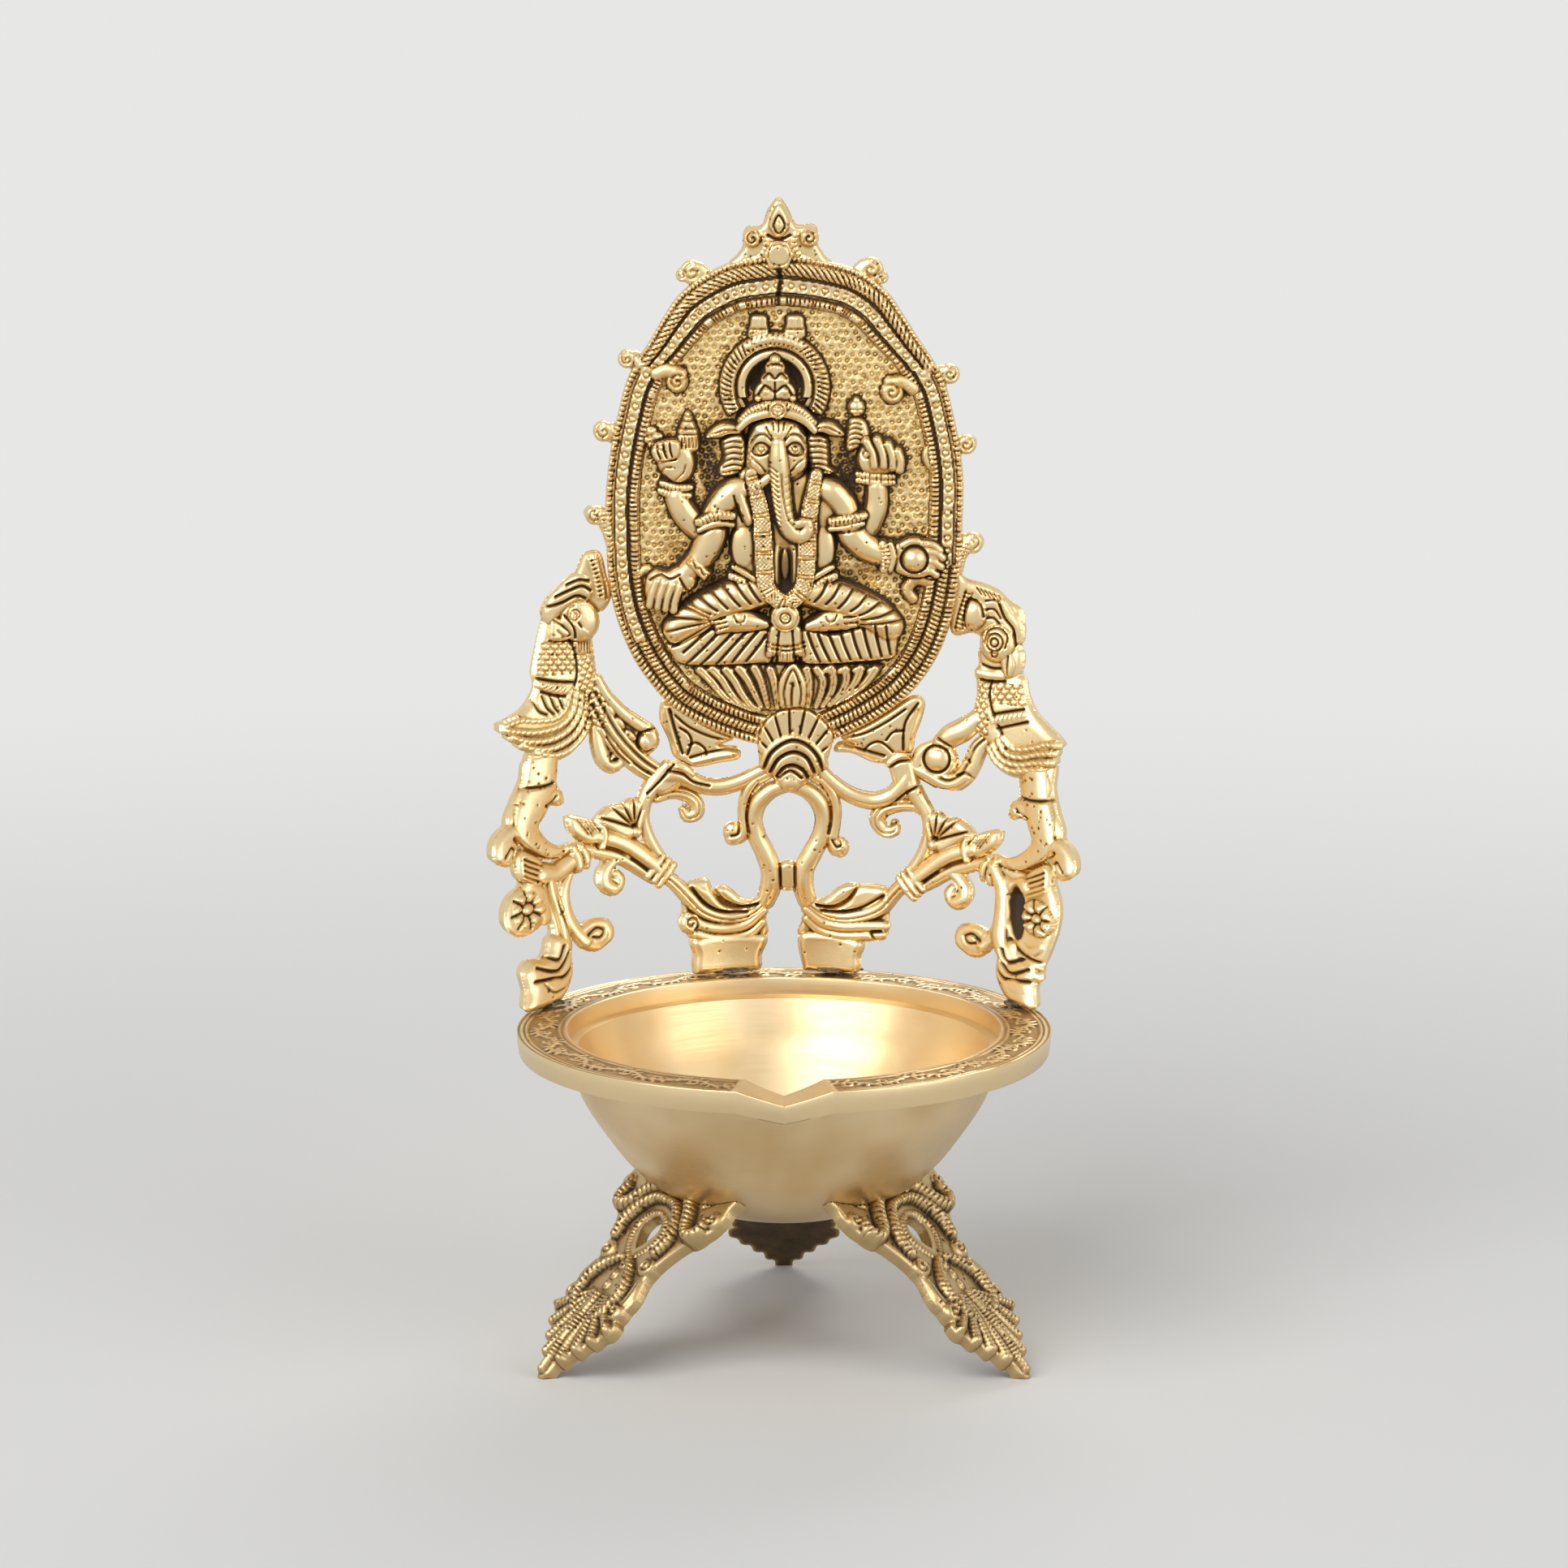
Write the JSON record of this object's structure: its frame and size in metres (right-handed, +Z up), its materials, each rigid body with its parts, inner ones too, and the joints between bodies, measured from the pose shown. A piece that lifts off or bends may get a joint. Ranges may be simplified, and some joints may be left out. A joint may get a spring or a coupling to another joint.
{
  "type": "puja oil lamp with openwork back plate",
  "caption": "Brass puja lamp: rimmed bowl with a wick spout on three cast legs, with an openwork back plate of Ganesha in an oval medallion between birds and scrolls.",
  "frame": {"origin": "centre of the underside: on the floor, under the bowl's axis", "axes": "+Z up, -Y towards the viewer and the bowl's spout, +X to the viewer's right"},
  "size_m": [0.1724, 0.163, 0.3215],
  "materials": {
    "polished_brass": "polished inside the bowl and outside, antique in the engraving of the rim's top",
    "cast_brass": "cast and hand finished, bright on the high places and dark brown in the recesses",
    "dark_brass": "dark antique casting with filed edges",
    "solder": "dull grey solder"
  },
  "bodies": {
    "root": {"bowl": "polished_brass", "leg_front_left": "dark_brass", "leg_front_right": "dark_brass", "leg_rear": "dark_brass", "medallion_plate": "cast_brass", "medallion_border": "cast_brass", "halo": "cast_brass", "ganesha_figure": "cast_brass", "lotus_seat": "cast_brass", "crest": "cast_brass", "shell": "cast_brass", "neck": "cast_brass", "bird_left": "cast_brass", "bird_right": "cast_brass", "fan_leaf_left": "cast_brass", "fan_leaf_right": "cast_brass", "branch_left": "cast_brass", "branch_right": "cast_brass", "outer_scroll_left": "cast_brass", "outer_scroll_right": "cast_brass", "solder_outer_left": "solder", "solder_outer_right": "solder", "solder_inner_left": "solder", "solder_inner_right": "solder"}
  },
  "joints": []
}
